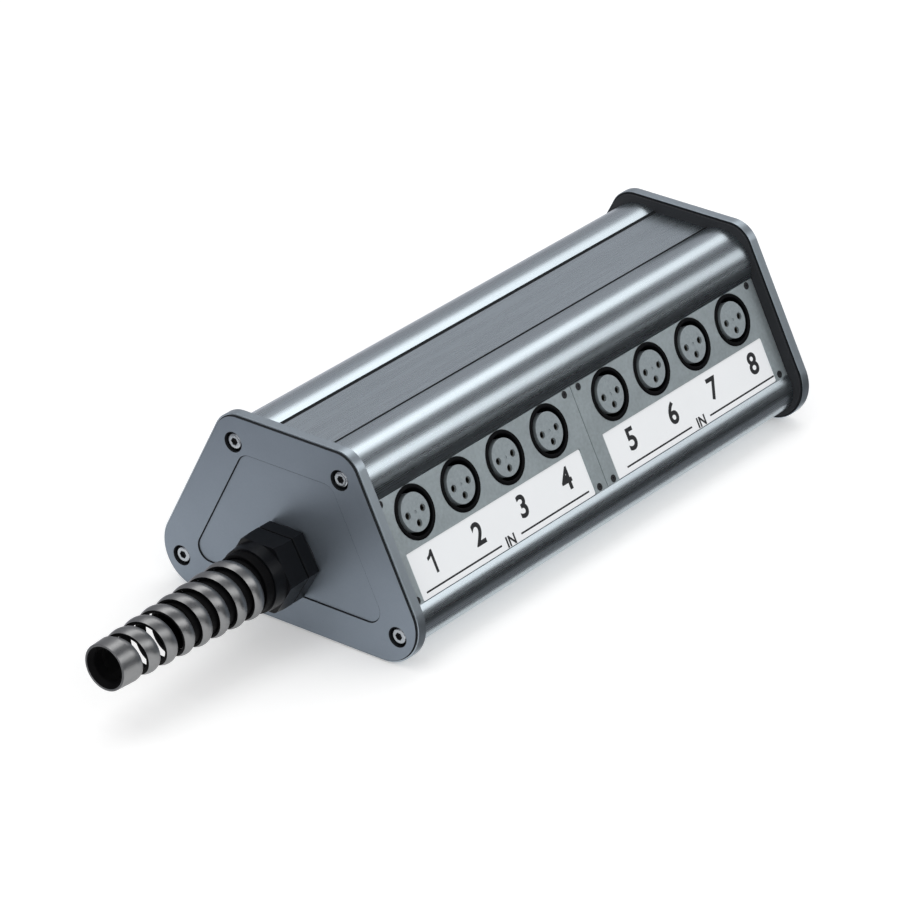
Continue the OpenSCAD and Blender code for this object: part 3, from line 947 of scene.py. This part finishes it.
@dataclass
class Housing:
    """The extruded housing, its end plates, gaskets and end screws."""

    edge: float = 0.25 * MM
    plate_edge: float = 0.45 * MM
    head_r: float = 3.7 * MM
    head_h: float = 2.4 * MM
    head_round: float = 1.1 * MM
    shank_r: float = 2.0 * MM
    shank_len: float = 18.0 * MM
    key_r: float = 3.0 * MM / 2 / math.cos(math.pi / 6)
    key_depth: float = 1.5 * MM
    head_sink: float = 0.7 * MM
    pocket_r: float = 4.3 * MM
    gland_hole_r: float = 12.7 * MM
    step: float = 0.9 * MM
    plate_mid_z: float = 43.7 * MM
    groove_y: float = 13.66 * MM
    groove_w: float = 0.9 * MM
    groove_clear: float = 0.05 * MM
    top_z: float = 81.5 * MM
    screw_places: tuple[tuple[float, float], ...] = (
        (-27.3 * MM, 74.7 * MM), (27.3 * MM, 74.7 * MM),
        (-56.2 * MM, 13.5 * MM), (56.2 * MM, 13.5 * MM),
    )
    far_face: float = 195.6 * MM
    facing: float = 0.97
    slack: float = 0.1 * MM
    ledge: float = 0.3 * MM
    hole_slack: float = 0.2 * MM
    key_slack: float = 0.05 * MM
    head_edge: float = 0.12 * MM
    head_steps: int = 48
    shank_steps: int = 32
    square: float = 50.0

    def build(self) -> None:
        """Builds all pieces of the housing."""
        carry_over(
            "housing_profile", "housing", Body.BOX, "satin_aluminium",
            SATIN_ALUMINIUM, GROOVE_DARK, edge=self.edge, choose=self._groove,
        )
        for end in ("cable", "blank"):
            carry_over(
                f"end_plate_{end}", f"plate_{end}", Body.BOX, "plate_aluminium",
                PLATE_ALUMINIUM, PLATE_RIM_PAINTED_HIGHLIGHT, PLATE_DARK,
                edge=self.plate_edge, segments=3, choose=self._plate_part(end),
            )
            carry_over(
                f"end_gasket_{end}", f"gasket_{end}", Body.BOX, "gasket_rubber",
                GASKET_RUBBER, edge=self.edge,
            )
            fit(self._screws(end), Body.BOX, "bright_steel", f"end_screws_{end}")

    def _groove(self, face: bmesh.types.BMFace) -> bool:
        """Says whether a face lies in one of the fine grooves beside the flat top, which are
        painted shade.

        Args:
            face: The face.

        Returns:
            Whether it does.
        """
        spot = face.calc_center_median()
        beside = abs(abs(spot.y) - self.groove_y) < self.groove_w
        return beside and -self.groove_w < spot.z - self.top_z < -self.groove_clear

    def _plate_part(self, end: str) -> Callable[[bmesh.types.BMFace], int]:
        """Tells a plate's face (0) from its rim (1), a painted highlight, and its near-black rest
        (2).

        The rest is painted shade on the walls of the step and of the sunk field
        and in the holes, and the same near-black on the inner side.

        Args:
            end: "cable" or "blank".

        Returns:
            What says the number of each face.
        """
        sign, front = (1, LAY.gland_x) if end == "cable" else (-1, self.far_face)
        holes = [(y, z, self.pocket_r) for y, z in self.screw_places]
        holes.append((0.0, LAY.gland_z, self.gland_hole_r))

        def part(face: bmesh.types.BMFace) -> int:
            """Tells which part of the plate a face belongs to.

            Args:
                face: The face.

            Returns:
                The part's number.
            """
            spot, normal = face.calc_center_median(), face.normal
            depth = sign * (spot.x - front)
            if abs(normal.x) > self.facing:
                levels = (self.step - self.slack, self.step + self.ledge)
                return sum(depth >= level for level in levels)
            reach = (math.hypot(spot.y - y, spot.z - z) - r for y, z, r in holes)
            if any(past < self.hole_slack for past in reach):
                return 2
            inward = normal.y * spot.y + normal.z * (spot.z - self.plate_mid_z) < 0
            return 2 if inward or depth < self.step else 1

        return part

    def _screws(self, end: str) -> bpy.types.Object:
        """Builds the four socket head screws of one plate.

        Args:
            end: "cable" or "blank".

        Returns:
            The piece.
        """
        form = Form()
        head = form.loop(self.head_r, steps=self.head_steps)
        key = form.loop(self.key_r, steps=6)
        form.sheet(head, self.head_h, key, self.key_depth)
        form.soften(self.head_round, 5, self.square, self._on_rim)
        form.soften(self.head_edge, 2, self.square).paint(self._in_key)
        shank_z = -self.head_h - self.shank_len / 2 + self.slack
        bmesh.ops.create_cone(
            form.bm, cap_ends=True, segments=self.shank_steps, radius1=self.shank_r,
            radius2=self.shank_r, depth=self.shank_len,
            matrix=Matrix.Translation((0.0, 0.0, shank_z)),
        )
        # The faces in the key sockets get painted shade.
        return form.repeat(self._places(end)).piece(f"screws_{end}", SCREW_STEEL, BLACK_STEEL_AND_KEY_SHADE)

    def _on_rim(self, edge: bmesh.types.BMEdge) -> bool:
        """Says whether an edge is the upper rim of a screw's head."""
        inside = self.head_r - self.slack
        return all(v.co.z > -self.slack and v.co.xy.length > inside for v in edge.verts)

    def _in_key(self, face: bmesh.types.BMFace) -> bool:
        """Says whether a face lies in the socket of a screw's head, which is painted shade."""
        width = max(v.co.xy.length for v in face.verts)
        return face.calc_center_median().z < -self.slack and width < self.key_r + self.key_slack

    def _places(self, end: str) -> list[Matrix]:
        """Gives the places of one plate's screws.

        Args:
            end: "cable" or "blank".

        Returns:
            One matrix a screw, with z pointing outwards.
        """
        sign, x = 1, self.far_face - self.head_sink
        if end == "cable":
            sign, x = -1, LAY.gland_x + self.head_sink
        return [
            Matrix.Translation((x, y, z)) @ Matrix.Rotation(sign * math.pi / 2, 4, "Y")
            for y, z in self.screw_places
        ]


@dataclass
class Sockets:
    """The eight sockets: the shell and the insert of each."""

    ring_r: float = 11.5 * MM
    ring_proud: float = 0.5 * MM
    slot_r: float = 9.75 * MM
    slot_depth: float = 15.5 * MM
    back: float = -18.5 * MM
    flange_r: float = 12.8 * MM
    flange_top: float = -2.0 * MM
    flange_t: float = 2.0 * MM
    lip: float = 0.45 * MM
    floor_hole_r: float = 5.76 * MM
    insert_r: float = 8.15 * MM
    insert_top: float = 0.4 * MM
    hole_r: float = 1.55 * MM
    hole_circle: float = 4.76 * MM
    hole_turns: tuple[float, ...] = (0.0, 180.0, 270.0)
    dimple_r: float = 0.7 * MM
    dimple_depth: float = 0.4 * MM
    insert_edge: float = 0.15 * MM
    insert_steps: int = 64
    hole_steps: int = 32
    dimple_steps: int = 16
    square: float = 60.0

    def build(self) -> None:
        """Builds all sockets."""
        for socket in range(1, 9):
            place = LAY.on_face(LAY.socket_x(socket))
            shell = self._shell().place(place).piece(f"shell_{socket}", SOCKET_BLACK)
            fit(shell, Body.BOX, "socket_black", f"socket_shell_{socket}")
            insert = self._insert().place(place).piece(f"insert_{socket}", INSERT_GREY)
            fit(insert, Body.BOX, "insert_grey", f"socket_insert_{socket}")

    def _shell(self) -> Form:
        """Turns the ring, the slot's walls and the rear flange in one profile.

        Returns:
            The shell round its own axis.
        """
        top, low = self.ring_proud, self.flange_top - self.flange_t
        profile = (
            (self.floor_hole_r, -self.slot_depth), (self.slot_r, -self.slot_depth),
            (self.slot_r, top), (self.ring_r, top),
            (self.ring_r, self.flange_top), (self.flange_r, self.flange_top),
            (self.flange_r, low), (self.ring_r, low),
            (self.ring_r, self.back), (self.floor_hole_r, self.back),
        )
        return Form().lathe(profile).soften(self.lip, 3)

    def _insert(self) -> Form:
        """Fills a disc with its three holes and its dimple left open.

        Returns:
            The insert round its own axis.
        """
        form = Form()
        edges = form.loop(self.insert_r, steps=self.insert_steps)
        for turn in self.hole_turns:
            a = math.radians(turn)
            centre = (self.hole_circle * math.cos(a), self.hole_circle * math.sin(a), 0.0)
            edges += form.loop(self.hole_r, centre, self.hole_steps)
        dimple = form.loop(self.dimple_r, steps=self.dimple_steps)
        form.sheet(edges, self.slot_depth + self.insert_top, dimple, self.dimple_depth)
        form.soften(self.insert_edge, 2, self.square)
        return form.place(Matrix.Translation((0.0, 0.0, self.insert_top)))


@dataclass
class Panels:
    """The two connector panels with their screws and printed labels."""

    edge: float = 0.18 * MM
    screw_edge: float = 0.08 * MM
    label_edge: float = 0.06 * MM
    square: float = 60.0
    label_size: Triple = (116.55 * MM, 20.33 * MM, 0.5 * MM)
    label_top: float = -0.3 * MM
    label_mid: float = -23.47 * MM
    label_corner: float = 0.8 * MM
    print_t: float = 0.04 * MM
    digit_h: float = 9.9 * MM
    digit_y: float = -21.4 * MM
    digit_weight: float = 0.024
    one: tuple[tuple[float, float], ...] = (
        (0.01, -0.5), (0.155, -0.5), (0.155, 0.5), (0.04, 0.5), (-0.03, 0.4),
        (-0.13, 0.31), (-0.25, 0.25), (-0.25, 0.12), (-0.10, 0.17), (0.01, 0.25),
    )
    digit_shift: tuple[float, float] = (-0.4 * MM, 2.9 * MM)
    word_h: float = 4.6 * MM
    word_weight: float = 0.028
    word_x: tuple[float, float] = (1.0 * MM, 3.2 * MM)
    line_y: float = -31.1 * MM
    line_w: float = 0.75 * MM
    lines: tuple[tuple[tuple[float, float], ...], ...] = (
        ((-55.0 * MM, -5.2 * MM), (8.0 * MM, 54.9 * MM)),
        ((-50.8 * MM, -3.8 * MM), (9.7 * MM, 57.9 * MM)),
    )

    def build(self) -> None:
        """Builds both panels."""
        for panel in (1, 2):
            carry_over(
                f"connector_panel_{panel}", f"panel_{panel}", Body.BOX, "panel_metal",
                PANEL_METAL, edge=self.edge,
            )
            carry_over(
                f"panel_screws_{panel}", f"panel_fixings_{panel}", Body.BOX, "black_steel",
                BLACK_STEEL_AND_KEY_SHADE, edge=self.screw_edge,
            )
            fit(self._label(panel), Body.BOX, "label_white", f"label_strip_{panel}")
            fit(self._print(panel), Body.BOX, "socket_black")

    def _label(self, panel: int) -> bpy.types.Object:
        """Builds one label strip with rounded corners.

        Args:
            panel: The panel's number.

        Returns:
            The piece.
        """
        form = Form()
        thickness = self.label_size[2]
        form.block(self.label_size, (0.0, self.label_mid, self.label_top - thickness / 2))
        form.soften(
            self.label_corner, 5, self.square,
            lambda edge: abs(edge.verts[0].co.z - edge.verts[1].co.z) > thickness / 2,
        )
        form.soften(self.label_edge, 2, self.square).place(LAY.on_face(LAY.panel_x[panel - 1]))
        return form.piece(f"label_{panel}", LABEL_WHITE)

    def _print(self, panel: int) -> bpy.types.Object:
        """Builds the numbers, the function word and the lines of one label.

        Args:
            panel: The panel's number.

        Returns:
            The piece.
        """
        form = Form()
        side = panel - 1
        level = self.label_top + self.print_t / 2
        for number in range(4 * side + 1, 4 * side + 5):
            x = LAY.socket_x(number) - LAY.panel_x[side] + self.digit_shift[side]
            spot = (x, self.digit_y, self.label_top)
            if number == 1:
                self._one(form, spot)
            else:
                self._letter(form, str(number), self.digit_h, spot, self.digit_weight)
        spot = (self.word_x[side], self.line_y, self.label_top)
        self._letter(form, "IN", self.word_h, spot, self.word_weight)
        for start, end in self.lines[side]:
            size = (end - start, self.line_w, self.print_t)
            form.block(size, ((start + end) / 2, self.line_y, level))
        form.place(LAY.on_face(LAY.panel_x[side]))
        return form.piece(f"print_{panel}", LABEL_INK, level=False)

    def _one(self, form: Form, centre: Triple) -> None:
        """Adds a figure 1 with its flag, which the built-in letters draw as a bar.

        Args:
            form: The form.
            centre: The middle of its lower face.
        """
        figure = Form()
        figure.bm.faces.new([figure.bm.verts.new((x, y, 0.0)) for x, y in self.one])
        figure.place(Matrix.Translation(centre) @ Matrix.Scale(self.digit_h, 4))
        form.merge(figure.thicken(self.print_t))

    def _letter(self, form: Form, words: str, height: float, centre: Triple, weight: float) -> None:
        """Adds letters to a form as a mesh.

        Args:
            form: The form.
            words: The letters.
            height: Their height.
            centre: The middle of their lower face.
            weight: How much bolder they are, as a share of their size.
        """
        curve = bpy.data.curves.new("letters", "FONT")
        curve.body = words
        curve.align_x = "CENTER"
        curve.align_y = "CENTER"
        curve.offset = weight
        curve.resolution_u = 6
        holder = link(bpy.data.objects.new("letters", curve))
        bpy.context.view_layer.update()
        drawn = holder.evaluated_get(bpy.context.evaluated_depsgraph_get())
        mesh = bpy.data.meshes.new_from_object(drawn)
        bpy.data.objects.remove(holder)
        bpy.data.curves.remove(curve)
        across = [v.co.x for v in mesh.vertices]
        along = [v.co.y for v in mesh.vertices]
        size = height / (max(along) - min(along))
        shift = (-(min(across) + max(across)) / 2, -(min(along) + max(along)) / 2, 0.0)
        letters = Form().take(mesh, Matrix.Translation(shift)).thicken(self.print_t / size)
        form.merge(letters.place(Matrix.Translation(centre) @ Matrix.Scale(size, 4)))


@dataclass
class Gland:
    """The cable gland and its spiral bend relief."""

    edge: float = 0.5 * MM
    reach: float = 112.0 * MM
    start: float = 24.2 * MM
    root_r: float = 14.1 * MM
    tip_r: float = 10.0 * MM
    wall: float = 2.1 * MM
    pitch: float = 10.1 * MM
    band: float = 5.9 * MM
    crown: float = 0.85 * MM
    crown_steps: int = 6
    gather: float = 0.04
    inner_lift: float = 0.3 * MM
    inner_wide: float = 0.92
    inner_flat: float = 0.8
    inner_slack: float = 0.4 * MM
    hidden_turn: float = math.radians(100.0)
    root_ring: float = 4.4 * MM
    tip_ring: float = 7.5 * MM
    tip_face: float = 0.9 * MM
    tip_chamfer: float = 2.2 * MM
    tip_level: float = 0.8
    tip_slack: float = 0.4 * MM
    back_share: float = 0.5
    ring_edge: float = 0.3 * MM
    swell: float = 0.8 * MM
    swell_start: float = 70.0 * MM
    ring_sink: float = 0.8 * MM
    spread: float = 0.31
    steps: int = 56
    seat: float = 22.8 * MM
    sleeve_end: float = 70.0 * MM
    sleeve_gap: float = 0.3 * MM
    sleeve_wall: float = 0.8 * MM
    sleeve_edge: float = 0.15 * MM

    def build(self) -> None:
        """Builds all pieces of the gland."""
        for node, name, body in (
            ("gland_body", "gland_hexagon", Body.BOX), ("gland_cap_nut", "cap_nut", Body.CAP_NUT),
        ):
            carry_over(node, name, body, "gland_black", GLAND_BLACK, edge=self.edge, segments=3)
        fit(self._spiral(), Body.CAP_NUT, "spiral_black", "bend_relief_spiral")
        fit(self._sleeve(), Body.CAP_NUT, "gland_black", "bend_relief_sleeve")

    def _radius(self, out: float) -> float:
        """Gives the outer radius at a distance from the end plate."""
        taper = (self.tip_r - self.root_r) * (out - self.start)
        return self.root_r + taper / (self.reach - self.start)

    def _swell(self, out: float) -> float:
        """Gives how much thicker the strip is at a distance from the end plate."""
        share = (out - self.swell_start) / (self.reach - self.swell_start)
        return self.swell * min(max(share, 0.0), 1.0)

    def _section(self) -> list[tuple[float, float]]:
        """Gives the strip's section: a crowned back and a flat inner side.

        Returns:
            Its corners as radius and height.
        """
        half, inner = self.band / 2, self.root_r - self.wall
        back = []
        for step in range(-self.crown_steps, self.crown_steps + 1):
            along = step / self.crown_steps
            width = half * along * (1.0 - self.gather * along ** 2)
            back.append((self.root_r - self.crown * along ** 2, width))
        lifted = inner + self.inner_lift
        return back + [
            (lifted, half * self.inner_wide), (inner, half * self.inner_flat),
            (inner, -half * self.inner_flat), (lifted, -half * self.inner_wide),
        ]

    def _sleeve(self) -> bpy.types.Object:
        """Turns the thin sleeve that lies inside the first turns, whose near-black stands in for
        the shade there.

        Returns:
            The piece.
        """
        outer = [
            (self._radius(max(out, self.start)) - self.wall - self.sleeve_gap, out)
            for out in (self.seat, self.start, self.sleeve_end)
        ]
        inner = [(r - self.sleeve_wall, out) for r, out in reversed(outer)]
        form = Form().lathe(outer + inner).soften(self.sleeve_edge, 2)
        return form.place(LAY.on_gland()).piece("sleeve", INSIDE_PAINTED_SHADE)

    def _spiral(self) -> bpy.types.Object:
        """Winds the strip from its hidden side on and adds the plain rings at both ends.

        Returns:
            The piece.
        """
        form = Form()
        origin = self.start + self.root_ring - self.band / 2
        first = origin + self.pitch * self.hidden_turn / (2 * math.pi)
        last = self.reach - self.tip_ring + self.band / 2
        turns = (last - first) / self.pitch
        steps = round(turns * self.steps)
        wire = form.wire([(r, h + first) for r, h in self._section()])
        form.place(Matrix.Rotation(self.hidden_turn, 4, "Z"))
        bmesh.ops.spin(
            form.bm, geom=[form.bm.faces.new(corners(wire)), *wire], cent=(0, 0, 0),
            axis=(0, 0, 1), dvec=(0, 0, (last - first) / steps),
            angle=2 * math.pi * turns, steps=steps, use_merge=False,
        )
        for vert in form.bm.verts:
            self._taper(vert, origin)
        form.outward().paint(self._part)
        # The ring next to the cap nut lies under the turns and is painted shade all over; the tip
        # ring only inside its mouth.
        for ring, dark in ((self._root_profile(), 1), (self._tip_profile(), 0)):
            turned = Form().lathe(ring).soften(self.ring_edge, 3)
            form.merge(turned.paint(lambda face: max(dark, self._part(face))))
        return form.place(LAY.on_gland()).piece("bend_relief", SPIRAL_BLACK, INSIDE_PAINTED_SHADE)

    def _taper(self, vert: bmesh.types.BMVert, origin: float) -> None:
        """Moves a corner of the wound strip in to the taper, and widens the strip near the tip.

        Args:
            vert: The corner.
            origin: The strip's middle where a turn starts.
        """
        flat = Vector((vert.co.x, vert.co.y))
        shift = self._radius(vert.co.z) - self.root_r
        if flat.length < self.root_r - self.wall + self.inner_slack:
            shift -= self._swell(vert.co.z)
        middle = origin + math.atan2(flat.y, flat.x) / (2 * math.pi) * self.pitch
        aside = (vert.co.z - middle + self.pitch / 2) % self.pitch - self.pitch / 2
        vert.co.z += aside * self.spread * self._swell(vert.co.z) / self.swell
        flat *= (flat.length + shift) / flat.length
        vert.co.x, vert.co.y = flat

    def _root_profile(self) -> tuple[tuple[float, float], ...]:
        """Gives the section of the ring next to the cap nut, sunk under the turns.

        Returns:
            Its corners as radius and height.
        """
        low, high = self.start, self.start + self.root_ring
        return (
            (self._radius(low) - self.ring_sink, low), (self._radius(high) - self.ring_sink, high),
            (self._radius(high) - self.wall, high), (self._radius(low) - self.wall, low),
        )

    def _tip_profile(self) -> tuple[tuple[float, float], ...]:
        """Gives the section of the ring at the tip, chamfered inside its mouth.

        Returns:
            Its corners as radius and height.
        """
        low, high = self.reach - self.tip_ring, self.reach
        outer = self._radius(high)
        bore = outer - self.wall - self.swell
        return (
            (self._radius(low), low), (outer, high), (outer - self.tip_face, high),
            (bore, high - self.tip_chamfer), (bore, low),
        )

    def _part(self, face: bmesh.types.BMFace) -> int:
        """Tells the strip's back and the tip's end face from the painted shade of its inner side
        and edges.

        Args:
            face: The face.

        Returns:
            0 for the first two, and 1, the painted shade, for the others.
        """
        spot = face.calc_center_median()
        if face.normal.z > self.tip_level and spot.z > self.reach - self.tip_slack:
            return 0
        return int(face.normal.xy.dot(spot.xy) < self.back_share * spot.xy.length)


@dataclass
class Inside:
    """The pieces behind the panels and in the gland, whose solids stay."""

    finishes: dict[str, Finish] = field(default_factory=lambda: {
        "socket_contacts": CONTACT_METAL,
        "circuit_board": BOARD_GREEN,
        "board_header": HEADER_BLACK,
        "board_standoffs": STANDOFF_BRASS,
        "board_screws": BRIGHT_STEEL,
        "gland_washer": GASKET_RUBBER,
        "gland_locknut": LOCKNUT_METAL,
        "gland_claw": CLAW_WHITE,
        "gland_seal": GASKET_RUBBER,
    })

    def build(self, nodes: dict[str, bpy.types.Object]) -> None:
        """Dresses the solids.

        Args:
            nodes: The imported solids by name.
        """
        for name, node in nodes.items():
            for kind, finish in self.finishes.items():
                if not name.startswith(kind):
                    continue
                for place in node.material_slots:
                    place.material = finish.material()
                LOG.info("%s: carried over", name)


def main() -> None:
    """Builds the whole scene."""
    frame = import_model()
    Studio().build()
    Housing().build()
    Panels().build()
    Sockets().build()
    Gland().build()
    Inside().build(frame["nodes"])


if __name__ == "__main__":
    logging.basicConfig(level=logging.INFO, format="%(message)s")
    main()
